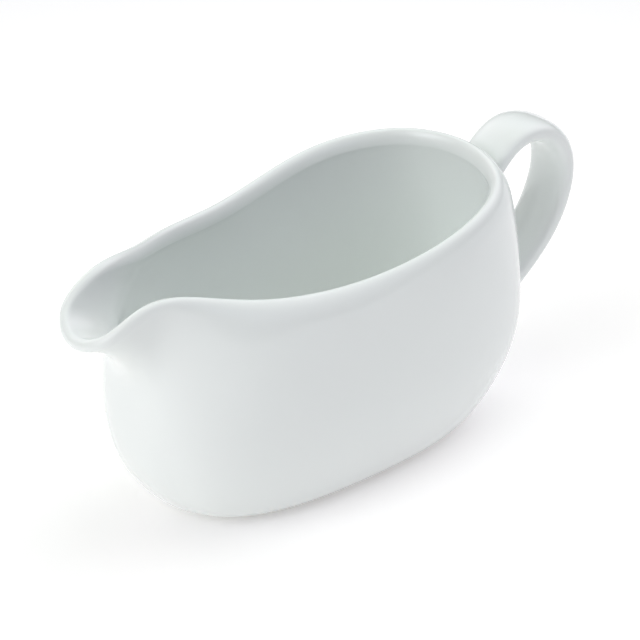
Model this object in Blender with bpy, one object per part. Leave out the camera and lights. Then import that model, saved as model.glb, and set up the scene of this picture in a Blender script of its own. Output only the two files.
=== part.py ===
"""Porcelain gravy boat: a slip-cast vessel with a strap handle that luting slip holds on.

+X points from the bowl to the handle, the pouring lip is at -X and +Z is up. The origin is on the
table, at the middle of the overall length. Shapes are worked out in millimetres around the middle
of the bowl, and an empty at BOWL_MIDDLE_X carries them to their place.
"""

import bpy
import numpy as np
from mathutils import Vector
from mathutils.bvhtree import BVHTree

MM = 0.001
GAP = 0.3                       # clearance between pieces that touch on the fired object

# Vessel body: semi-axes of its oval plan at the belly and of the oval it would close into on top
BOWL_MIDDLE_X = -5.5
BELLY_SEMI_LENGTH = 78.0
BELLY_SEMI_WIDTH = 38.0
TOP_SEMI_LENGTH = 69.0
TOP_SEMI_WIDTH = 47.0
OVAL_POWER = 2.6                # 2 is an ellipse, more is squarer

# Wall profile from the foot's edge to the rim: (share of the oval, share of the rim's height)
FOOT_SHARE = 0.63
PROFILE = ((FOOT_SHARE, 0.0), (0.77, 0.0), (1.0, 0.29), (1.0, 0.56), (1.0, 0.95), (1.0, 1.0))

# Half of the rim, from the back to the tip of the lip: (x, y, height, rim radius, flare power).
# The flare power says how late the wall turns from the oval into the rim's outline.
RIM_HALF = (
    (71.0, 0.0, 89.7, 3.2, 4.5),
    (62.0, 28.0, 89.0, 3.2, 4.5),
    (33.0, 41.5, 85.5, 3.2, 4.5),
    (6.0, 40.5, 80.5, 3.2, 4.5),
    (-15.0, 37.0, 79.0, 3.2, 4.5),
    (-40.0, 33.0, 81.5, 3.1, 4.5),
    (-58.0, 22.5, 84.7, 2.7, 5.0),
    (-76.0, 15.5, 88.7, 2.3, 7.0),
    (-90.5, 15.5, 78.5, 2.0, 8.0),
    (-96.0, 0.0, 71.3, 2.0, 8.0),
)

# Thickness of the clay, and the underside
WALL = 4.6
FLOOR = 6.0
FLOOR_BLEND = 0.25              # share of the height over which the floor thins into the wall
RIM_STEP = 0.15                 # how far the inner wall steps back right under the rounded rim
RIM_STEP_END = 3.5              # depth below the rim's edge where that step is over
RIM_TAPER = 40.0                # depth over which the rest of the rim's thickness is lost
FOOT_RING_WIDTH = 5.0
RECESS_DEPTH = 2.0
RECESS_SLOPE = 1.5

# Handle: centreline (x, z) in the plane of symmetry, and the strap's section
HANDLE_LINE = (
    (66.0, 76.0),
    (75.5, 91.0),
    (90.0, 92.5),
    (102.3, 82.8),
    (103.5, 63.0),
    (90.0, 43.5),
    (67.0, 29.5),
)
STRAP_HALF_WIDTH = 9.0
STRAP_HALF_THICKNESS = (3.5, 4.0, 4.4)      # at the top root, halfway and at the bottom root
STRAP_POWER = 2.5

# Luting slip: a fillet ring around each root of the handle
FILLET_REACH = (3.0, 4.5)       # along the strap and along the wall, at the top and bottom root
FILLET_EDGE = 0.5               # thickness of its two edges
FILLET_LIFT = 0.15              # more clearance, where its facets bridge a bend of the wall
FILLET_SAG = 0.62               # how hollow it is: 0 is a straight chamfer, 1 touches the corner

# Mesh density
COLUMNS = 72
WALL_ROWS = 16
RIM_ROWS = 5
INNER_ROWS = 12
STRAP_COLUMNS = 24
STRAP_ROWS = 24
FILLET_STEPS = 4
CAP_RINGS = (0.7, 0.4)
NUDGE = 1e-4                    # parameter step that a surface normal is measured over

GLAZE_COLOUR = (0.86, 0.88, 0.88, 1.0)
GLAZE_ROUGHNESS = 0.12


def spline_weights(knots, t):
    """Weights of a cubic B-spline's control points at the parameters t."""
    weights = [np.where((low <= t) & (t < high), 1.0, 0.0) for low, high in zip(knots, knots[1:])]
    for degree in (1, 2, 3):
        raised = []
        for i in range(len(weights) - 1):
            rise = knots[i + degree] - knots[i]
            fall = knots[i + degree + 1] - knots[i + 1]
            weight = np.zeros_like(t)
            if rise > 0:
                weight += weights[i] * (t - knots[i]) / rise
            if fall > 0:
                weight += weights[i + 1] * (knots[i + degree + 1] - t) / fall
            raised.append(weight)
        weights = raised
    return np.array(weights)


def open_spline(points, t):
    """Smooth curve from the first control point, at t = 0, to the last one, at t = 1."""
    spans = len(points) - 3
    knots = np.concatenate([np.zeros(3), np.linspace(0.0, 1.0, spans + 1), np.ones(3)])
    inside = np.clip(t, 0.0, 1.0 - 1e-9)
    return np.einsum("k...,kd->...d", spline_weights(knots, inside), np.array(points))


def closed_spline(points, t):
    """Smooth loop that passes nearest to the first control point at t = 0 and at t = 1."""
    spans = len(points)
    padded = np.array([points[-1], *points, points[0], points[1]])
    knots = np.arange(-3, spans + 4) / spans
    return np.einsum("k...,kd->...d", spline_weights(knots, t % 1.0), padded)


def smooth_step(value, start, end):
    share = np.clip((value - start) / (end - start), 0.0, 1.0)
    return share * share * (3.0 - 2.0 * share)


def oval_radius(angle, semi_length, semi_width):
    """Distance from the middle to the edge of a squared-off oval, in the direction of angle."""
    across = np.abs(np.cos(angle) / semi_length) ** OVAL_POWER
    along = np.abs(np.sin(angle) / semi_width) ** OVAL_POWER
    return (across + along) ** (-1.0 / OVAL_POWER)


def rim_outline(around):
    mirrored = [(x, -y, *rest) for x, y, *rest in RIM_HALF[-2:0:-1]]
    return closed_spline([*RIM_HALF, *mirrored], around)


def outer_wall(around, up):
    """Points of the outer wall: around runs from the back through +Y, up from foot to rim."""
    rim = rim_outline(around)
    share, height = np.moveaxis(open_spline(PROFILE, up), -1, 0)
    angle = np.arctan2(rim[..., 1], rim[..., 0])
    reach = np.hypot(rim[..., 0], rim[..., 1])
    semi_length = BELLY_SEMI_LENGTH + (TOP_SEMI_LENGTH - BELLY_SEMI_LENGTH) * height**2
    semi_width = BELLY_SEMI_WIDTH + (TOP_SEMI_WIDTH - BELLY_SEMI_WIDTH) * height**2
    oval = oval_radius(angle, semi_length * share, semi_width * share)
    top_oval = oval_radius(angle, TOP_SEMI_LENGTH, TOP_SEMI_WIDTH)
    radius = oval + (reach - top_oval) * height ** rim[..., 4]
    return np.stack([radius * np.cos(angle), radius * np.sin(angle), rim[..., 2] * height], axis=-1)


def unit(vectors):
    return vectors / np.linalg.norm(vectors, axis=-1, keepdims=True)


def wall_frame(around, up):
    """Outer wall's points, outward normals and upward directions."""
    low = np.clip(up - NUDGE, 0.0, 1.0)
    high = np.clip(up + NUDGE, 0.0, 1.0)
    upward = unit(outer_wall(around, high) - outer_wall(around, low))
    sideways = outer_wall(around + NUDGE, up) - outer_wall(around - NUDGE, up)
    return outer_wall(around, up), unit(np.cross(sideways, upward)), upward


def clay_thickness(around, up):
    """The wall, thicker at the floor and up to the rim, under which it has a slight step."""
    rim = rim_outline(around)
    height = open_spline(PROFILE, up)[..., 1]
    below_rim = rim[..., 2] * (1.0 - height)
    floor_part = (FLOOR - WALL) * (1.0 - smooth_step(height, 0.0, FLOOR_BLEND))
    step_part = RIM_STEP * (1.0 - smooth_step(below_rim, 0.0, RIM_STEP_END))
    taper_part = (2.0 * rim[..., 3] - WALL - RIM_STEP) * (1.0 - smooth_step(below_rim, 0.0, RIM_TAPER))
    return WALL + floor_part + step_part + taper_part


def rim_roll(around, turn, grow=0.0):
    """Points of the half-round rim: turn runs from 0 outside, over the top, to pi inside."""
    edge, outward, upward = wall_frame(around, np.ones_like(around))
    radius = rim_outline(around)[..., 3:4]
    spoke = outward * np.cos(turn)[..., None] + upward * np.sin(turn)[..., None]
    return edge - outward * radius + spoke * (radius + grow)


def foot_ring(around, inset, height):
    """Ring on the underside, the inset within the foot's outer edge."""
    rim = rim_outline(around)
    angle = np.arctan2(rim[..., 1], rim[..., 0])
    semi_length = BELLY_SEMI_LENGTH * FOOT_SHARE - inset
    semi_width = BELLY_SEMI_WIDTH * FOOT_SHARE - inset
    radius = oval_radius(angle, semi_length, semi_width)
    return np.stack([radius * np.cos(angle), radius * np.sin(angle), np.full_like(radius, height)], -1)


def grid(first, second):
    """Two parameter lists as a pair of matching tables."""
    return np.meshgrid(np.asarray(first, float), np.asarray(second, float), indexing="ij")


def rings_to_faces(rings, columns):
    """Triangles between neighbouring rings of a closed loop of columns."""
    faces = []
    for ring in range(rings - 1):
        low, high = ring * columns, (ring + 1) * columns
        for column in range(columns):
            following = (column + 1) % columns
            faces.append((low + column, low + following, high + following))
            faces.append((low + column, high + following, high + column))
    return faces


def capped_tube(rings, first_pole, last_pole):
    """Closed mesh from a stack of rings, with a fan to a pole at each end."""
    columns = len(rings[0])
    points = [*np.concatenate(rings), first_pole, last_pole]
    faces = rings_to_faces(len(rings), columns)
    last_ring = (len(rings) - 1) * columns
    for column in range(columns):
        following = (column + 1) % columns
        faces.append((len(points) - 2, following, column))
        faces.append((len(points) - 1, last_ring + column, last_ring + following))
    return points, faces


def vessel_shape():
    """Bowl, rolled rim and lip with a recessed foot, as rings from underneath to the floor inside."""
    columns = np.arange(COLUMNS) / COLUMNS
    up, around = grid(np.linspace(0.0, 1.0, WALL_ROWS), columns)
    outside = outer_wall(around, up)
    turn, around = grid(np.linspace(0.0, np.pi, RIM_ROWS + 2)[1:-1], columns)
    roll = rim_roll(around, turn)
    up, around = grid(np.linspace(1.0, 0.0, INNER_ROWS), columns)
    points, outward, _ = wall_frame(around, up)
    inside = points - outward * clay_thickness(around, up)[..., None]
    underside = [
        foot_ring(columns, FOOT_RING_WIDTH + RECESS_SLOPE, RECESS_DEPTH),
        foot_ring(columns, FOOT_RING_WIDTH, 0.0),
    ]
    floor = foot_ring(columns, 2.0 * FOOT_RING_WIDTH, FLOOR)
    rings = [*underside, *outside, *roll, *inside, floor]
    return capped_tube(rings, (0.0, 0.0, RECESS_DEPTH), (0.0, 0.0, FLOOR))


def wall_skin():
    """Closed skin that stands the gap proud of the outer wall, which the handle's parts rest on."""
    columns = np.arange(COLUMNS) / COLUMNS
    up, around = grid(np.linspace(0.0, 1.0, WALL_ROWS), columns)
    points, outward, _ = wall_frame(around, up)
    turn, around = grid(np.linspace(0.0, np.pi / 2.0, 4)[1:], columns)
    roll = rim_roll(around, turn, GAP)
    rings = [*(points + outward * GAP), *roll]
    points, faces = capped_tube(rings, (0.0, 0.0, -GAP), (0.0, 0.0, RIM_HALF[0][2]))
    return BVHTree.FromPolygons([Vector(point) for point in points], faces)


def strap(run, turn, grow=0.0):
    """Points of the handle: run goes from the top root to the bottom one, turn round the section."""
    low = np.clip(run - NUDGE, 0.0, 1.0)
    high = np.clip(run + NUDGE, 0.0, 1.0)
    middle = open_spline(HANDLE_LINE, run)
    along = unit(open_spline(HANDLE_LINE, high) - open_spline(HANDLE_LINE, low))
    top, halfway, bottom = STRAP_HALF_THICKNESS
    half_thickness = np.interp(run, (0.0, 0.5, 1.0), (top, halfway, bottom))
    outward = np.sign(np.cos(turn)) * np.abs(np.cos(turn)) ** (2.0 / STRAP_POWER)
    sideways = np.sign(np.sin(turn)) * np.abs(np.sin(turn)) ** (2.0 / STRAP_POWER)
    offset = outward * (half_thickness + grow)
    x = middle[..., 0] - along[..., 1] * offset
    z = middle[..., 1] + along[..., 0] * offset
    return np.stack([x, sideways * (STRAP_HALF_WIDTH + grow), z], axis=-1)


def root_run(skin, turn, end, grow=0.0):
    """Run at which one line along the strap meets the skin, on its way to the end (0 or 1)."""
    runs = np.linspace(0.5, float(end), 120)
    points = [Vector(point) for point in strap(runs, np.full_like(runs, turn), grow)]
    for i in range(len(runs) - 1):
        step = points[i + 1] - points[i]
        hit = skin.ray_cast(points[i], step.normalized(), step.length)[0]
        if hit is not None:
            return runs[i] + (runs[i + 1] - runs[i]) * (hit - points[i]).length / step.length
    raise ValueError("the strap misses the wall")


def strap_turns():
    return (np.arange(STRAP_COLUMNS) + 0.5) * 2.0 * np.pi / STRAP_COLUMNS


def end_rings(skin, ring):
    """Smaller and smaller rings that lie on the skin inside an end of the strap, and their pole."""
    middle = ring.mean(axis=0)
    rings = []
    for share in CAP_RINGS:
        flat = middle + (ring - middle) * share
        rings.append(np.array([skin.find_nearest(Vector(point))[0] for point in flat]))
    return rings, np.array(skin.find_nearest(Vector(middle))[0])


def handle_shape(skin):
    """Strap loop whose two ends follow the wall."""
    turns = strap_turns()
    starts = np.array([root_run(skin, turn, 0) for turn in turns])
    ends = np.array([root_run(skin, turn, 1) for turn in turns])
    share = np.linspace(0.0, 1.0, STRAP_ROWS)[:, None]
    runs = starts + (ends - starts) * share
    body = strap(runs, np.broadcast_to(turns, runs.shape))
    top_rings, top_pole = end_rings(skin, body[0])
    bottom_rings, bottom_pole = end_rings(skin, body[-1])
    return capped_tube([*top_rings[::-1], *body, *bottom_rings], top_pole, bottom_pole)


def travel_along(skin, turn, end, reach):
    """Corner where a line of the grown strap meets the skin, and points further along the line."""
    root = root_run(skin, turn, end, GAP)
    inward = 1.0 if end == 0 else -1.0
    runs = root + inward * np.linspace(0.0, 0.3, 60)
    line = strap(runs, np.full_like(runs, turn), GAP)
    travelled = np.concatenate([[0.0], np.cumsum(np.linalg.norm(np.diff(line, axis=0), axis=1))])
    stops = reach * np.array((0.5, 1.0))
    further = np.stack([np.interp(stops, travelled, axis) for axis in line.T], axis=1)
    centre = open_spline(HANDLE_LINE, np.array(root))
    return line[0], further, unit(line[0] - (centre[0], 0.0, centre[1]))


def lifted(skin, point):
    """Nearest place on the skin, raised a little, and the skin's normal there."""
    spot, normal = skin.find_nearest(Vector(point))[:2]
    return np.array(spot + normal * FILLET_LIFT), np.array(normal)


def fillet_ring(skin, turn, end):
    """Section of the slip fillet beside one line along the strap, as a closed loop of points."""
    reach = FILLET_REACH[end]
    root, on_strap, away = travel_along(skin, turn, end, reach)
    corner, wall_normal = lifted(skin, root)
    spread = unit(away - wall_normal * np.dot(away, wall_normal))
    halfway = lifted(skin, corner + spread * reach * 0.5)[0]
    foot, foot_normal = lifted(skin, corner + spread * reach)
    strap_edge = on_strap[1] + away * FILLET_EDGE
    wall_edge = foot + foot_normal * FILLET_EDGE
    target = corner + unit(away + wall_normal) * FILLET_EDGE
    hollow = []
    for share in np.linspace(0.0, 1.0, FILLET_STEPS + 2)[1:-1]:
        straight = strap_edge + (wall_edge - strap_edge) * share
        hollow.append(straight + (target - straight) * FILLET_SAG * 2.0 * share * (1.0 - share))
    return [corner, *on_strap, strap_edge, *hollow, wall_edge, foot, halfway]


def fillet_shape(skin, end):
    """Ring of luting slip around one root of the handle."""
    loops = np.array([fillet_ring(skin, turn, end) for turn in strap_turns()])
    turns, steps = loops.shape[:2]
    faces = []
    for turn in range(turns):
        for step in range(steps):
            next_turn, next_step = (turn + 1) % turns, (step + 1) % steps
            here, there = turn * steps, next_turn * steps
            faces.append((here + step, here + next_step, there + next_step, there + step))
    return list(loops.reshape(-1, 3)), faces


def outward_faces(points, faces):
    """The faces, turned over if they enclose a negative volume."""
    volume = 0.0
    for face in faces:
        for i in range(1, len(face) - 1):
            volume += np.dot(points[face[0]], np.cross(points[face[i]], points[face[i + 1]]))
    return faces if volume > 0.0 else [face[::-1] for face in faces]


def glaze_material(name):
    material = bpy.data.materials.new(name)
    material.use_nodes = True
    shader = material.node_tree.nodes["Principled BSDF"]
    shader.inputs["Base Color"].default_value = GLAZE_COLOUR
    shader.inputs["Roughness"].default_value = GLAZE_ROUGHNESS
    shader.inputs["Metallic"].default_value = 0.0
    return material


def add_piece(name, shape, parent):
    """One named solid from points in millimetres, smooth shaded, under the parent."""
    points, faces = shape
    points = np.array([np.asarray(point, float) for point in points])
    mesh = bpy.data.meshes.new(name)
    mesh.from_pydata((points * MM).tolist(), [], outward_faces(points, faces))
    mesh.shade_smooth()
    mesh.materials.append(glaze_material(name + "_glaze"))
    piece = bpy.data.objects.new(name, mesh)
    piece.parent = parent
    bpy.context.collection.objects.link(piece)
    return piece


def clear_scene():
    for item in list(bpy.data.objects):
        bpy.data.objects.remove(item, do_unlink=True)


def build_gravy_boat():
    clear_scene()
    holder = bpy.data.objects.new("gravy_boat", None)
    holder.location = (BOWL_MIDDLE_X * MM, 0.0, 0.0)
    bpy.context.collection.objects.link(holder)
    skin = wall_skin()
    add_piece("vessel", vessel_shape(), holder)
    add_piece("handle", handle_shape(skin), holder)
    add_piece("upper_handle_joint", fillet_shape(skin, 0), holder)
    add_piece("lower_handle_joint", fillet_shape(skin, 1), holder)


build_gravy_boat()
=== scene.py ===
"""Looks of the porcelain gravy boat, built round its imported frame.

Shapes are worked out in millimetres around the middle of the bowl, by the design's own formulas at a
finer step, and moved to their place in the frame at the end. +X points to the handle, +Z is up.
"""

import math

import bpy
import numpy as np
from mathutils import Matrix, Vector
from mathutils.bvhtree import BVHTree


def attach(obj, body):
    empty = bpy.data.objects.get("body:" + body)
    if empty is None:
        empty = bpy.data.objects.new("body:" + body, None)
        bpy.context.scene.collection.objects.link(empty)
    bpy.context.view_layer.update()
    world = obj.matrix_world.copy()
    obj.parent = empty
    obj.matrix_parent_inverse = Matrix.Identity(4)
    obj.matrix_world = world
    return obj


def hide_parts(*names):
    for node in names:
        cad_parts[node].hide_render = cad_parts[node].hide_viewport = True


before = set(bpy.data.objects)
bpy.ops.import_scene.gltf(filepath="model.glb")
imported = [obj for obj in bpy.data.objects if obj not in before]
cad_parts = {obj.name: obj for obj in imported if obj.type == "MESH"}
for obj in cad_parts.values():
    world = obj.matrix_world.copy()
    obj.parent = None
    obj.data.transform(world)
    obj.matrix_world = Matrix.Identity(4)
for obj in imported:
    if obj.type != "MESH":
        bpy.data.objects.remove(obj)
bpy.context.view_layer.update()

MM = 0.001

# Vessel body: semi-axes of its oval plan at the belly and of the oval it would close into on top
BOWL_MIDDLE_X = -5.5
BELLY_SEMI_LENGTH = 78.0
BELLY_SEMI_WIDTH = 38.0
TOP_SEMI_LENGTH = 69.0
TOP_SEMI_WIDTH = 47.0
OVAL_POWER = 2.6                # 2 is an ellipse, more is squarer

# Wall profile from the foot's edge to the rim: (share of the oval, share of the rim's height)
FOOT_SHARE = 0.63
PROFILE = ((FOOT_SHARE, 0.0), (0.77, 0.0), (1.0, 0.29), (1.0, 0.56), (1.0, 0.95), (1.0, 1.0))

# Half of the rim, from the back to the tip of the lip: (x, y, height, rim radius, flare power).
# The flare power says how late the wall turns from the oval into the rim's outline.
RIM_HALF = (
    (71.0, 0.0, 89.7, 3.2, 4.5),
    (62.0, 28.0, 89.0, 3.2, 4.5),
    (33.0, 41.5, 85.5, 3.2, 4.5),
    (6.0, 40.5, 80.5, 3.2, 4.5),
    (-15.0, 37.0, 79.0, 3.2, 4.5),
    (-40.0, 33.0, 81.5, 3.1, 4.5),
    (-58.0, 22.5, 84.7, 2.7, 5.0),
    (-76.0, 15.5, 88.7, 2.3, 7.0),
    (-90.5, 15.5, 78.5, 2.0, 8.0),
    (-96.0, 0.0, 71.3, 2.0, 8.0),
)

# Rounding of the rim: half-round at the lip, and where the rim is stouter than there, it reaches
# further down the wall on both sides and turns into a soft bevel inside
LIP_RADIUS = 2.0
SHOULDER = (4.0, 1.0)           # reach down the wall, outside and in, per millimetre of stoutness
BEVEL = 0.3                     # how much the section's power falls from 2, per millimetre

# Thickness of the clay
WALL = 4.6
FLOOR = 6.0
FLOOR_BLEND = 0.25              # share of the height over which the floor thins into the wall
RIM_STEP = 0.15                 # how far the inner wall steps back right under the rounded rim
RIM_STEP_END = 3.5              # depth below the rim's edge where that step is over
RIM_TAPER = 40.0                # depth over which the rest of the rim's thickness is lost
COVE_START = 0.22               # the wall's up value where its inside starts to curve into the floor
COVE_REACH = 6.0                # how far that curve runs out along the floor
COVE_TIGHTNESS = 0.68           # how far it keeps to the wall and the floor, as a share of each leg

# Softening of the creases beside the lip
CALM_LENGTH = (-68.0, -50.0)    # x between which it fades out, towards the handle
CALM_HEIGHT = (50.0, 66.0)      # height over which it comes in
CALM_ROWS = 14                  # rows of points from the rim over which it comes in
CALM_TIMES = 60

# Foot: a low ring with rounded edges round a recess
FOOT_RING_WIDTH = 5.0
FOOT_RING_HEIGHT = 1.1          # how far the ring stands out of the body around it
FOOT_EDGE_RADIUS = 0.6
FOOT_MERGE = (0.66, 0.80)       # share of the oval where the body comes back down to the design's wall
RECESS_DEPTH = 2.0
RECESS_SLOPE = 1.5
RECESS_DOME = 0.5               # how much higher the middle of the recess is

# Handle: centreline (x, z) in the plane of symmetry, and the strap's section
HANDLE_LINE = (
    (66.0, 76.0),
    (75.5, 91.0),
    (90.0, 92.5),
    (102.3, 82.8),
    (103.5, 63.0),
    (90.0, 43.5),
    (67.0, 29.5),
)
STRAP_HALF_WIDTH = 9.0
STRAP_HALF_THICKNESS = (3.5, 4.0, 4.4)      # at the top root, halfway and at the bottom root
STRAP_POWER = 2.5
STRAP_SUNK = 2.0                # how far its ends go into the wall

# Luting slip: a fillet ring around each root of the handle
FILLET_REACH = (3.0, 4.5)       # along the strap and along the wall, at the top and bottom root
FILLET_PULL = 0.6               # how far its curve leans into the corner, as a share of the reach
FILLET_SUNK = 0.02              # how far its two edges lie under the surfaces they run out into
FILLET_BACK = 0.8               # thickness of its hidden side
FILLET_SEARCH = 0.3             # share of the strap's length on which its upper edge is looked for
FILLET_AHEAD = 0.1              # step along the strap that its direction is measured over

# Mesh density
COLUMNS = 256
WALL_ROWS = 96
RIM_ROWS = 32
COVE_ROWS = 24
EDGE_STEPS = 5
DISC_RINGS = (0.93, 0.8, 0.64, 0.48, 0.32, 0.16, 0.05)
STRAP_COLUMNS = 72
STRAP_ROWS = 150
FILLET_STEPS = 14
ROWS_TO_FOOT = 1.15             # power that gathers the outer wall's rows near the foot, where it bends

# Steps of the measurements that shapes are built on
DEPTH_STEPS = 2001              # of the table from a depth below the rim to the wall's up value
ROOT_STEPS = 200                # along half the strap, to find where it meets the wall
LENGTH_STEPS = 400              # along the whole strap, to find its length
FILLET_SEARCH_STEPS = 120       # along the share of it on which a fillet's upper edge is looked for
NUDGE = 1e-4                    # parameter step that a surface normal is measured over
TURN_NUDGE = 0.01               # the same round the strap's section, in radians

NOISE_RANGE = (0.3, 0.7)        # where most of a noise texture's values lie

# Studio, in metres and degrees: a wide floor that lies just under the boat, and the photograph's
# camera, whose sensor and lens are in millimetres
STUDIO_FLOOR_HALF = 6.0
STUDIO_FLOOR_DROP = 0.0001
STUDIO_FLOOR_GLOW = 0.190       # the white table is lit from below as well, round the boat
GLOW_FADE = (0.15, 0.50)        # distances between which that light fades out
CAMERA_AIM = (-0.0039, 0.0, 0.0482)
CAMERA_AZIMUTH = -39.124
CAMERA_ELEVATION = 30.438
CAMERA_DISTANCE = 1.033121
CAMERA_SENSOR = 36.0
CAMERA_LENS = 180.0
CAMERA_NEAR = 0.05

# Soft light from all round: azimuth, elevation and brightness of each patch's middle, and how tightly
# its light keeps to it
SKY_PATCHES = (
    (-60.0, 50.0, 8.0, (0.18, 0.13, 0.11)),
    (-90.0, 15.0, 8.0, (0.29, 0.19, 0.19)),
    (-90.0, 32.0, 16.0, (4.11, 4.27, 4.42)),
    (0.0, 32.0, 16.0, (0.15, 0.15, 0.34)),
    (120.0, 50.0, 8.0, (0.95, 1.04, 1.07)),
    (180.0, 32.0, 16.0, (1.65, 1.52, 1.63)),
    (60.0, 50.0, 8.0, (1.38, 1.34, 1.46)),
    (90.0, 32.0, 16.0, (1.17, 1.03, 1.11)),
    (0.0, 90.0, 8.0, (0.81, 0.91, 0.71)),
    (0.0, 88.0, 250.0, (1.6, 1.6, 1.6)),
)


def spline_weights(knots, t):
    """Weights of a cubic B-spline's control points at the parameters t."""
    weights = [np.where((low <= t) & (t < high), 1.0, 0.0) for low, high in zip(knots, knots[1:])]
    for degree in (1, 2, 3):
        raised = []
        for i in range(len(weights) - 1):
            rise = knots[i + degree] - knots[i]
            fall = knots[i + degree + 1] - knots[i + 1]
            weight = np.zeros_like(t)
            if rise > 0:
                weight += weights[i] * (t - knots[i]) / rise
            if fall > 0:
                weight += weights[i + 1] * (knots[i + degree + 1] - t) / fall
            raised.append(weight)
        weights = raised
    return np.array(weights)


def open_spline(points, t):
    """Smooth curve from the first control point, at t = 0, to the last one, at t = 1."""
    spans = len(points) - 3
    knots = np.concatenate([np.zeros(3), np.linspace(0.0, 1.0, spans + 1), np.ones(3)])
    inside = np.clip(t, 0.0, 1.0 - 1e-9)
    return np.einsum("k...,kd->...d", spline_weights(knots, inside), np.array(points))


def closed_spline(points, t):
    """Smooth loop that passes nearest to the first control point at t = 0 and at t = 1."""
    spans = len(points)
    padded = np.array([points[-1], *points, points[0], points[1]])
    knots = np.arange(-3, spans + 4) / spans
    return np.einsum("k...,kd->...d", spline_weights(knots, t % 1.0), padded)


def bezier(start, leave, arrive, finish, t):
    """Curve that sets out from start towards leave and comes in to finish from arrive."""
    outset = (1 - t) ** 3 * start + 3 * (1 - t) ** 2 * t * leave
    return outset + 3 * (1 - t) * t**2 * arrive + t**3 * finish


def smooth_step(value, start, end):
    share = np.clip((value - start) / (end - start), 0.0, 1.0)
    return share * share * (3.0 - 2.0 * share)


def unit(vectors):
    return vectors / np.linalg.norm(vectors, axis=-1, keepdims=True)


def oval_radius(angle, semi_length, semi_width):
    """Distance from the middle to the edge of a squared-off oval, in the direction of angle."""
    across = np.abs(np.cos(angle) / semi_length) ** OVAL_POWER
    along = np.abs(np.sin(angle) / semi_width) ** OVAL_POWER
    return (across + along) ** (-1.0 / OVAL_POWER)


def rim_outline(around):
    mirrored = [(x, -y, *rest) for x, y, *rest in RIM_HALF[-2:0:-1]]
    return closed_spline([*RIM_HALF, *mirrored], around)


def outer_wall(around, up):
    """Points of the outer wall: around runs from the back through +Y, up from foot to rim."""
    rim = rim_outline(around)
    share, height = np.moveaxis(open_spline(PROFILE, up), -1, 0)
    angle = np.arctan2(rim[..., 1], rim[..., 0])
    reach = np.hypot(rim[..., 0], rim[..., 1])
    semi_length = BELLY_SEMI_LENGTH + (TOP_SEMI_LENGTH - BELLY_SEMI_LENGTH) * height**2
    semi_width = BELLY_SEMI_WIDTH + (TOP_SEMI_WIDTH - BELLY_SEMI_WIDTH) * height**2
    oval = oval_radius(angle, semi_length * share, semi_width * share)
    top_oval = oval_radius(angle, TOP_SEMI_LENGTH, TOP_SEMI_WIDTH)
    radius = oval + (reach - top_oval) * height ** rim[..., 4]
    return np.stack([radius * np.cos(angle), radius * np.sin(angle), rim[..., 2] * height], axis=-1)


def wall_frame(around, up):
    """Outer wall's points, outward normals and upward directions."""
    low = np.clip(up - NUDGE, 0.0, 1.0)
    high = np.clip(up + NUDGE, 0.0, 1.0)
    upward = unit(outer_wall(around, high) - outer_wall(around, low))
    sideways = outer_wall(around + NUDGE, up) - outer_wall(around - NUDGE, up)
    return outer_wall(around, up), unit(np.cross(sideways, upward)), upward


def clay_thickness(around, up):
    """The wall, thicker at the floor and up to the rim, under which it has a slight step."""
    rim = rim_outline(around)
    height = open_spline(PROFILE, up)[..., 1]
    below_rim = rim[..., 2] * (1.0 - height)
    floor_part = (FLOOR - WALL) * (1.0 - smooth_step(height, 0.0, FLOOR_BLEND))
    step_part = RIM_STEP * (1.0 - smooth_step(below_rim, 0.0, RIM_STEP_END))
    taper_part = (2.0 * rim[..., 3] - WALL - RIM_STEP) * (1.0 - smooth_step(below_rim, 0.0, RIM_TAPER))
    return WALL + floor_part + step_part + taper_part


def up_at_depth(around, depth):
    """The wall's up value at a depth below the rim's edge."""
    table = np.linspace(0.0, 1.0, DEPTH_STEPS)
    heights = open_spline(PROFILE, table)[:, 1]
    return np.interp(1.0 - depth / rim_outline(around)[..., 2], heights, table)


def up_to_rounding(around, side):
    """The wall's up value where the rim's rounding starts, on side 0 outside or 1 inside."""
    return up_at_depth(around, SHOULDER[side] * (rim_outline(around)[..., 3] - LIP_RADIUS))


def rim_roll(around, turn):
    """Points of the rounded rim: turn runs from 0 outside, over the top, to pi inside."""
    outside = turn < np.pi / 2.0
    radius = rim_outline(around)[..., 3]
    stoutness = radius - LIP_RADIUS
    power = 2.0 / np.where(outside, 2.0, 2.0 - BEVEL * stoutness)
    across = np.sign(np.cos(turn)) * np.abs(np.cos(turn)) ** power
    rise = np.abs(np.sin(turn)) ** power
    base = outer_wall(around, up_at_depth(around, np.where(outside, *SHOULDER) * stoutness * (1.0 - rise)))
    _, outward, upward = wall_frame(around, np.ones_like(around))
    return base + outward * ((across - 1.0) * radius)[..., None] + upward * (rise * radius)[..., None]


def grid(first, second):
    """Two parameter lists as a pair of matching tables."""
    return np.meshgrid(np.asarray(first, float), np.asarray(second, float), indexing="ij")


def even_turns(columns):
    return np.arange(columns) / columns


def foot_oval(inset, height):
    """Ring on the underside, the inset within the foot's outer edge."""
    rim = rim_outline(even_turns(COLUMNS))
    angle = np.arctan2(rim[..., 1], rim[..., 0])
    semi_length = BELLY_SEMI_LENGTH * FOOT_SHARE - inset
    semi_width = BELLY_SEMI_WIDTH * FOOT_SHARE - inset
    radius = oval_radius(angle, semi_length, semi_width)
    return np.stack([radius * np.cos(angle), radius * np.sin(angle), np.full_like(radius, height)], -1)


def shrinking_rings(edge, rise):
    """Rings of a shallow dome inside an edge ring, from the edge inwards."""
    middle = edge.mean(axis=0)
    rings = []
    for share in DISC_RINGS:
        ring = middle + (edge - middle) * share
        ring[:, 2] += rise * (1.0 - share**2)
        rings.append(ring)
    return rings


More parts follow.
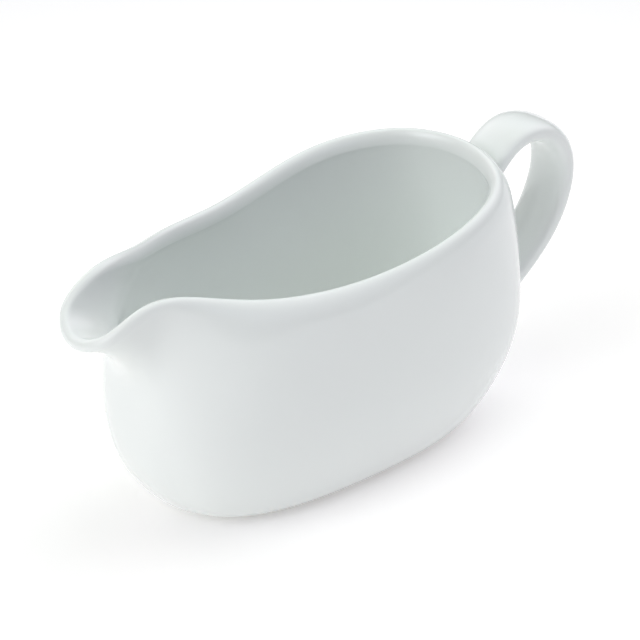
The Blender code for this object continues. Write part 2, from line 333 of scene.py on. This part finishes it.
def recess_rings():
    """The recess, from its middle to the inner edge of the foot ring."""
    edge = foot_oval(FOOT_RING_WIDTH + RECESS_SLOPE + FOOT_EDGE_RADIUS, RECESS_DEPTH)
    rings = shrinking_rings(edge, RECESS_DOME)[::-1]
    for turn in np.linspace(0.0, np.pi, EDGE_STEPS * 2):
        inset = FOOT_RING_WIDTH + RECESS_SLOPE * (1.0 + np.cos(turn)) / 2.0 + FOOT_EDGE_RADIUS
        rings.append(foot_oval(inset, RECESS_DEPTH * (1.0 + np.cos(turn)) / 2.0))
    return rings


def foot_rings():
    """The bare ring that the boat stands on, up to where the body's wall takes over."""
    rings = []
    for turn in np.linspace(0.0, np.pi / 2.0, EDGE_STEPS):
        inset = FOOT_EDGE_RADIUS * (1.0 - np.sin(turn))
        rings.append(foot_oval(inset, FOOT_EDGE_RADIUS * (1.0 - np.cos(turn))))
    return rings


def calmed(rings, rim_row):
    """Rings whose points beside the lip are drawn evenly between their neighbours."""
    from_rim = np.abs(np.arange(len(rings)) - rim_row)[:, None]
    weight = (1.0 - smooth_step(rings[..., 0], *CALM_LENGTH)) * smooth_step(rings[..., 2], *CALM_HEIGHT)
    weight = (weight * smooth_step(from_rim, 0.0, CALM_ROWS))[1:-1, :, None]
    for _ in range(CALM_TIMES):
        core = rings[1:-1]
        mean = np.roll(core, 1, axis=1) + np.roll(core, -1, axis=1) + rings[:-2] + rings[2:]
        core += (mean / 4.0 - core) * weight
    return rings


def body_rings():
    """Outer wall, lifted a little around the foot ring so that the ring stands out of it."""
    up, around = grid(np.linspace(0.0, 1.0, WALL_ROWS) ** ROWS_TO_FOOT, even_turns(COLUMNS))
    up = up * up_to_rounding(around, 0)
    share = open_spline(PROFILE, up)[..., 0]
    wall = outer_wall(around, up)
    wall[..., 2] += FOOT_RING_HEIGHT * (1.0 - smooth_step(share, *FOOT_MERGE))
    return list(calmed(wall, WALL_ROWS - 1)[1:])


def roll_rings():
    turn, around = grid(np.linspace(0.0, np.pi, RIM_ROWS)[1:-1], even_turns(COLUMNS))
    return list(rim_roll(around, turn))


def cove_rings(wall):
    """Hollow curve from the last ring of the inner wall into the flat floor."""
    start = wall[-1]
    down = unit(wall[-1] - wall[-2])
    corner = start + down * ((FLOOR - start[:, 2:]) / down[:, 2:])
    finish = corner + unit(down * (1.0, 1.0, 0.0)) * COVE_REACH
    leave = start + (corner - start) * COVE_TIGHTNESS
    arrive = finish + (corner - finish) * COVE_TIGHTNESS
    return [bezier(start, leave, arrive, finish, t) for t in np.linspace(0.0, 1.0, COVE_ROWS)[1:]]


def inside_rings():
    """Inner wall from under the rolled rim down, the cove at its foot, and the floor."""
    up, around = grid(np.linspace(1.0, COVE_START, WALL_ROWS), even_turns(COLUMNS))
    up = up * up_to_rounding(around, 1)
    points, outward, _ = wall_frame(around, up)
    wall = points - outward * clay_thickness(around, up)[..., None]
    rings = calmed(np.concatenate([wall, cove_rings(wall)]), 0)
    return [*rings, *shrinking_rings(rings[-1], 0.0)]


def ring_quads(first, last, columns):
    """Quads between neighbouring rings, from ring number first to ring number last."""
    faces = []
    for ring in range(first, last):
        low, high = ring * columns, (ring + 1) * columns
        for column in range(columns):
            following = (column + 1) % columns
            faces.append((low + column, low + following, high + following, high + column))
    return faces


def pole_fan(ring, pole, columns, flip):
    """Triangles from a ring to a pole."""
    start = ring * columns
    faces = []
    for column in range(columns):
        following = (column + 1) % columns
        triangle = (pole, start + column, start + following)
        faces.append(triangle[::-1] if flip else triangle)
    return faces


def capped_stack(rings):
    """Points and faces of a stack of rings that is closed by a fan at each end."""
    columns = len(rings[0])
    poles = [rings[0].mean(axis=0), rings[-1].mean(axis=0)]
    points = np.concatenate([*rings, poles])
    last = len(rings) - 1
    faces = ring_quads(0, last, columns)
    faces += pole_fan(0, len(points) - 2, columns, True)
    faces += pole_fan(last, len(points) - 1, columns, False)
    return points, faces


def outward_faces(points, faces):
    """The faces, turned over if they enclose a negative volume."""
    volume = 0.0
    for face in faces:
        corners = points[list(face)]
        for i in range(1, len(face) - 1):
            volume += np.dot(corners[0], np.cross(corners[i], corners[i + 1]))
    return faces if volume > 0.0 else [face[::-1] for face in faces]


def add_piece(name, shape, materials, nodes):
    """One named piece from points in millimetres, which stands for CAD nodes."""
    points, faces = shape
    mesh = bpy.data.meshes.new(name)
    placed = (points + (BOWL_MIDDLE_X, 0.0, 0.0)) * MM
    mesh.from_pydata(placed.tolist(), [], outward_faces(points, faces))
    mesh.shade_smooth()
    for material in materials:
        mesh.materials.append(material)
    piece = bpy.data.objects.new(name, mesh)
    bpy.context.collection.objects.link(piece)
    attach(piece, "root")
    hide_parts(*nodes)
    return piece


def vessel_shape():
    """The whole vessel as rings from the middle of its underside to the middle of its floor."""
    recess = recess_rings()
    foot = foot_rings()
    rings = [*recess, *foot, *body_rings(), *roll_rings(), *inside_rings()]
    return capped_stack(rings), len(recess) - 1, len(recess) + len(foot) - 1


def add_vessel(glaze, bisque):
    shape, foot_start, foot_end = vessel_shape()
    piece = add_piece("porcelain_vessel", shape, [glaze, bisque], ["vessel"])
    for face in piece.data.polygons[foot_start * COLUMNS : foot_end * COLUMNS]:
        face.material_index = 1
    return piece


class WallSkin:
    """The vessel's outside up to the top of the rim, to be hit by rays and asked for its normals."""

    def __init__(self):
        up, around = grid(np.linspace(0.0, 1.0, WALL_ROWS), even_turns(COLUMNS))
        wall = outer_wall(around, up * up_to_rounding(around, 0))
        turn, around = grid(np.linspace(0.0, np.pi * 0.5, RIM_ROWS)[1:], even_turns(COLUMNS))
        skin = np.concatenate([wall, rim_roll(around, turn)])
        sideways = np.roll(skin, -1, axis=1) - np.roll(skin, 1, axis=1)
        self.normals = unit(np.cross(sideways, np.gradient(skin, axis=0))).reshape(-1, 3)
        self.points = skin.reshape(-1, 3)
        self.faces = ring_quads(0, WALL_ROWS + RIM_ROWS - 2, COLUMNS)
        self.tree = BVHTree.FromPolygons([Vector(point) for point in self.points], self.faces)

    def normal(self, spot, face):
        """Smooth normal at a spot on a face, weighted by how near each corner is."""
        corners = list(self.faces[face])
        distance = np.linalg.norm(self.points[corners] - np.array(spot), axis=1)
        weights = 1.0 / (distance + 1e-6) ** 2
        return unit((self.normals[corners] * weights[:, None]).sum(axis=0))

    def nearest(self, point):
        spot, _, face, _ = self.tree.find_nearest(Vector(point))
        return np.array(spot), self.normal(spot, face)


def strap(run, turn):
    """Points of the handle: run goes from the top root to the bottom one, turn round the section."""
    run = np.clip(run, 0.0, 1.0)
    low = np.clip(run - NUDGE, 0.0, 1.0)
    high = np.clip(run + NUDGE, 0.0, 1.0)
    middle = open_spline(HANDLE_LINE, run)
    along = unit(open_spline(HANDLE_LINE, high) - open_spline(HANDLE_LINE, low))
    half_thickness = np.interp(run, (0.0, 0.5, 1.0), STRAP_HALF_THICKNESS)
    outward = np.sign(np.cos(turn)) * np.abs(np.cos(turn)) ** (2.0 / STRAP_POWER)
    sideways = np.sign(np.sin(turn)) * np.abs(np.sin(turn)) ** (2.0 / STRAP_POWER)
    offset = outward * half_thickness
    x = middle[..., 0] - along[..., 1] * offset
    z = middle[..., 1] + along[..., 0] * offset
    return np.stack([x, sideways * STRAP_HALF_WIDTH, z], axis=-1)


def root_run(skin, turn, end):
    """Run at which one line along the strap meets the wall, on its way to the end (0 or 1)."""
    runs = np.linspace(0.5, float(end), ROOT_STEPS)
    points = [Vector(point) for point in strap(runs, np.full_like(runs, turn))]
    for i in range(len(runs) - 1):
        step = points[i + 1] - points[i]
        hit = skin.tree.ray_cast(points[i], step.normalized(), step.length)[0]
        if hit is not None:
            return runs[i] + (runs[i + 1] - runs[i]) * (hit - points[i]).length / step.length
    raise ValueError("the strap misses the wall")


def strap_turns():
    return (even_turns(STRAP_COLUMNS) + 0.5 / STRAP_COLUMNS) * 2.0 * np.pi


def strap_length():
    line = open_spline(HANDLE_LINE, np.linspace(0.0, 1.0, LENGTH_STEPS))
    return np.linalg.norm(np.diff(line, axis=0), axis=1).sum()


def handle_shape(roots):
    """Strap loop whose two ends lie inside the wall."""
    sunk = STRAP_SUNK / strap_length()
    starts, ends = roots[0] - sunk, roots[1] + sunk
    share = np.linspace(0.0, 1.0, STRAP_ROWS)[:, None]
    runs = starts + (ends - starts) * share
    body = strap(runs, np.broadcast_to(strap_turns(), runs.shape))
    first = shrinking_rings(body[0], 0.0)[::-1]
    last = shrinking_rings(body[-1], 0.0)
    return capped_stack([*first, *body, *last])


def fillet_section(skin, turn, root, end):
    """Section of the slip fillet beside one line along the strap, as a closed loop of points."""
    reach = FILLET_REACH[end]
    inward = 1.0 if end == 0 else -1.0
    runs = root + inward * np.linspace(0.0, FILLET_SEARCH, FILLET_SEARCH_STEPS)
    line = strap(runs, np.full_like(runs, turn))
    travelled = np.concatenate([[0.0], np.cumsum(np.linalg.norm(np.diff(line, axis=0), axis=1))])
    on_strap = np.array([np.interp(reach, travelled, axis) for axis in line.T])
    past_strap = np.array([np.interp(reach + FILLET_AHEAD, travelled, axis) for axis in line.T])
    to_strap = unit(past_strap - on_strap)
    edge_run = np.array(np.interp(reach, travelled, runs))
    side = strap(edge_run, np.array(turn + TURN_NUDGE)) - strap(edge_run, np.array(turn - TURN_NUDGE))
    strap_normal = unit(np.cross(side, to_strap))
    centre = open_spline(HANDLE_LINE, edge_run)
    if np.dot(strap_normal, on_strap - (centre[0], 0.0, centre[1])) < 0.0:
        strap_normal = -strap_normal
    corner, wall_normal = skin.nearest(line[0])
    away = strap_normal - wall_normal * np.dot(strap_normal, wall_normal)
    on_wall, foot_normal = skin.nearest(corner + unit(away) * reach)
    to_wall = on_wall - corner
    to_wall = unit(to_wall - foot_normal * np.dot(to_wall, foot_normal))
    start = on_strap - strap_normal * FILLET_SUNK
    finish = on_wall - foot_normal * FILLET_SUNK
    leave = start - to_strap * reach * FILLET_PULL
    arrive = finish - to_wall * reach * FILLET_PULL
    curve = bezier(start, leave, arrive, finish, np.linspace(0.0, 1.0, FILLET_STEPS)[:, None])
    hidden = [
        on_wall - foot_normal * FILLET_BACK,
        corner - wall_normal * FILLET_BACK - strap_normal * FILLET_BACK,
        on_strap - strap_normal * FILLET_BACK,
    ]
    return [*curve, *hidden]


def fillet_shape(skin, roots, end):
    """Ring of luting slip around one root of the handle."""
    loops = [fillet_section(skin, turn, root, end) for turn, root in zip(strap_turns(), roots[end])]
    loops = np.array(loops)
    turns, steps = loops.shape[:2]
    faces = []
    for turn in range(turns):
        here, there = turn * steps, (turn + 1) % turns * steps
        for step in range(steps):
            following = (step + 1) % steps
            faces.append((here + step, here + following, there + following, there + step))
    return loops.reshape(-1, 3), faces


def node(tree, kind, **values):
    """A new node with the given input values or properties."""
    made = tree.nodes.new(kind)
    for name, value in values.items():
        socket = name.replace("_", " ")
        if socket in made.inputs:
            made.inputs[socket].default_value = value
        else:
            setattr(made, name, value)
    return made


def noise(tree, scale, detail=2.0):
    """Noise over the object's own space, in which a scale of 1000 is a grain of a millimetre."""
    position = node(tree, "ShaderNodeTexCoord").outputs["Object"]
    made = node(tree, "ShaderNodeTexNoise", Scale=scale, Detail=detail, Roughness=0.5)
    tree.links.new(position, made.inputs["Vector"])
    return made.outputs["Fac"]


def ramp(tree, value, stops):
    """A colour for each value, through (position, colour) stops."""
    made = node(tree, "ShaderNodeValToRGB")
    elements = made.color_ramp.elements
    for element, (position, colour) in zip(elements, stops[:2]):
        element.position = position
        element.color = (*colour, 1.0)
    for position, colour in stops[2:]:
        elements.new(position).color = (*colour, 1.0)
    tree.links.new(value, made.inputs["Fac"])
    return made.outputs["Color"]


def map_range(tree, value, source, target, interpolation="LINEAR"):
    """The value, where it runs over the source range, mapped to the target range."""
    made = node(tree, "ShaderNodeMapRange", interpolation_type=interpolation)
    for socket, number in zip(("From Min", "From Max", "To Min", "To Max"), (*source, *target)):
        made.inputs[socket].default_value = number
    tree.links.new(value, made.inputs["Value"])
    return made.outputs["Result"]


def spread(tree, noise_value, low, high):
    """Noise, which keeps mostly to its middle range, stretched to run from low to high."""
    return map_range(tree, noise_value, NOISE_RANGE, (low, high))


def bump(tree, height, strength, distance, below=None):
    made = node(tree, "ShaderNodeBump", Strength=strength, Distance=distance)
    tree.links.new(height, made.inputs["Height"])
    if below is not None:
        tree.links.new(below, made.inputs["Normal"])
    return made.outputs["Normal"]


def new_material(name):
    material = bpy.data.materials.new(name)
    material.use_nodes = True
    tree = material.node_tree
    return material, tree, tree.nodes["Principled BSDF"]


def glazed_porcelain():
    """White glaze: clear and glossy, faintly green in a tint that varies at random, with a soft waviness.
    """
    material, tree, shader = new_material("glazed_porcelain")
    tint = ramp(tree, noise(tree, 22.0), ((0.35, (0.852, 0.890, 0.870)), (0.65, (0.861, 0.896, 0.877))))
    tree.links.new(tint, shader.inputs["Base Color"])
    tree.links.new(spread(tree, noise(tree, 90.0, 4.0), 0.09, 0.14), shader.inputs["Roughness"])
    slow = bump(tree, noise(tree, 35.0), 0.10, 0.0012)
    fine = bump(tree, noise(tree, 420.0, 1.0), 0.03, 0.00008, slow)
    tree.links.new(fine, shader.inputs["Normal"])
    shader.inputs["IOR"].default_value = 1.52
    return material


def bare_bisque():
    """Unglazed fired clay of the foot ring: matt, fine-grained and a little scuffed."""
    material, tree, shader = new_material("bare_bisque")
    scuffs = ramp(tree, noise(tree, 260.0, 6.0), ((0.36, (0.50, 0.48, 0.45)), (0.52, (0.74, 0.72, 0.68))))
    tree.links.new(scuffs, shader.inputs["Base Color"])
    tree.links.new(spread(tree, noise(tree, 500.0, 3.0), 0.65, 0.85), shader.inputs["Roughness"])
    grain = bump(tree, noise(tree, 2500.0, 3.0), 0.5, 0.00008)
    tree.links.new(grain, shader.inputs["Normal"])
    return material


def floor_material():
    material, tree, shader = new_material("pale_floor")
    tone = ramp(tree, noise(tree, 3.0), ((0.3, (0.92, 0.92, 0.92)), (0.7, (0.93, 0.93, 0.93))))
    tree.links.new(tone, shader.inputs["Base Color"])
    shader.inputs["Roughness"].default_value = 0.9
    shader.inputs["Specular IOR Level"].default_value = 0.0
    shader.inputs["Emission Color"].default_value = (1.0, 0.96, 0.92, 1.0)
    position = node(tree, "ShaderNodeTexCoord").outputs["Object"]
    distance = node(tree, "ShaderNodeVectorMath", operation="LENGTH")
    tree.links.new(position, distance.inputs[0])
    glow = map_range(tree, distance.outputs["Value"], GLOW_FADE, (STUDIO_FLOOR_GLOW, 0.0), "SMOOTHSTEP")
    tree.links.new(glow, shader.inputs["Emission Strength"])
    return material


def add_floor():
    mesh = bpy.data.meshes.new("studio_floor")
    signs = ((-1.0, -1.0), (1.0, -1.0), (1.0, 1.0), (-1.0, 1.0))
    corners = [(STUDIO_FLOOR_HALF * x, STUDIO_FLOOR_HALF * y, -STUDIO_FLOOR_DROP) for x, y in signs]
    mesh.from_pydata(corners, [], [(0, 1, 2, 3)])
    mesh.materials.append(floor_material())
    floor = bpy.data.objects.new("studio_floor", mesh)
    bpy.context.collection.objects.link(floor)


def from_aim(aim, azimuth, elevation, distance):
    """Place at a distance from the aim, and the turn that looks at it. Azimuth 0 looks along +Y."""
    a, e = math.radians(azimuth), math.radians(elevation)
    back = Vector((math.sin(a) * math.cos(e), -math.cos(a) * math.cos(e), math.sin(e)))
    return aim + back * distance, (-back).to_track_quat("-Z", "Y")


def add_camera():
    camera = bpy.data.objects.new("camera", bpy.data.cameras.new("camera"))
    camera.data.sensor_width = CAMERA_SENSOR
    camera.data.lens = CAMERA_LENS
    camera.data.clip_start = CAMERA_NEAR
    aim = Vector(CAMERA_AIM)
    camera.rotation_mode = "QUATERNION"
    placing = from_aim(aim, CAMERA_AZIMUTH, CAMERA_ELEVATION, CAMERA_DISTANCE)
    camera.location, camera.rotation_quaternion = placing
    bpy.context.collection.objects.link(camera)
    bpy.context.scene.camera = camera


def sky_patch(tree, direction, azimuth, elevation, power, brightness):
    """Light that is brightest in one direction of the sky and fades smoothly round it."""
    towards = from_aim(Vector((0.0, 0.0, 0.0)), azimuth, elevation, 1.0)[0]
    facing = node(tree, "ShaderNodeVectorMath", operation="DOT_PRODUCT")
    facing.inputs[1].default_value = towards
    tree.links.new(direction, facing.inputs[0])
    front = node(tree, "ShaderNodeMath", operation="MAXIMUM")
    front.inputs[1].default_value = 0.0
    tree.links.new(facing.outputs["Value"], front.inputs[0])
    fade = node(tree, "ShaderNodeMath", operation="POWER")
    fade.inputs[1].default_value = power
    tree.links.new(front.outputs["Value"], fade.inputs[0])
    light = node(tree, "ShaderNodeVectorMath", operation="SCALE")
    light.inputs[0].default_value = brightness
    tree.links.new(fade.outputs["Value"], light.inputs["Scale"])
    return light.outputs["Vector"]


def add_sky():
    world = bpy.data.worlds.new("studio")
    world.use_nodes = True
    tree = world.node_tree
    direction = node(tree, "ShaderNodeTexCoord").outputs["Generated"]
    total = None
    for patch in SKY_PATCHES:
        light = sky_patch(tree, direction, *patch)
        if total is not None:
            both = node(tree, "ShaderNodeVectorMath", operation="ADD")
            tree.links.new(total, both.inputs[0])
            tree.links.new(light, both.inputs[1])
            light = both.outputs["Vector"]
        total = light
    tree.links.new(total, tree.nodes["Background"].inputs["Color"])
    bpy.context.scene.world = world
    bpy.context.scene.view_settings.view_transform = "Standard"


def build():
    glaze = glazed_porcelain()
    add_vessel(glaze, bare_bisque())
    skin = WallSkin()
    roots = [np.array([root_run(skin, turn, end) for turn in strap_turns()]) for end in (0, 1)]
    add_piece("strap_handle", handle_shape(roots), [glaze], ["handle"])
    for end, name in enumerate(("upper", "lower")):
        shape = fillet_shape(skin, roots, end)
        add_piece(name + "_slip_fillet", shape, [glaze], [name + "_handle_joint"])
    add_floor()
    add_camera()
    add_sky()


build()
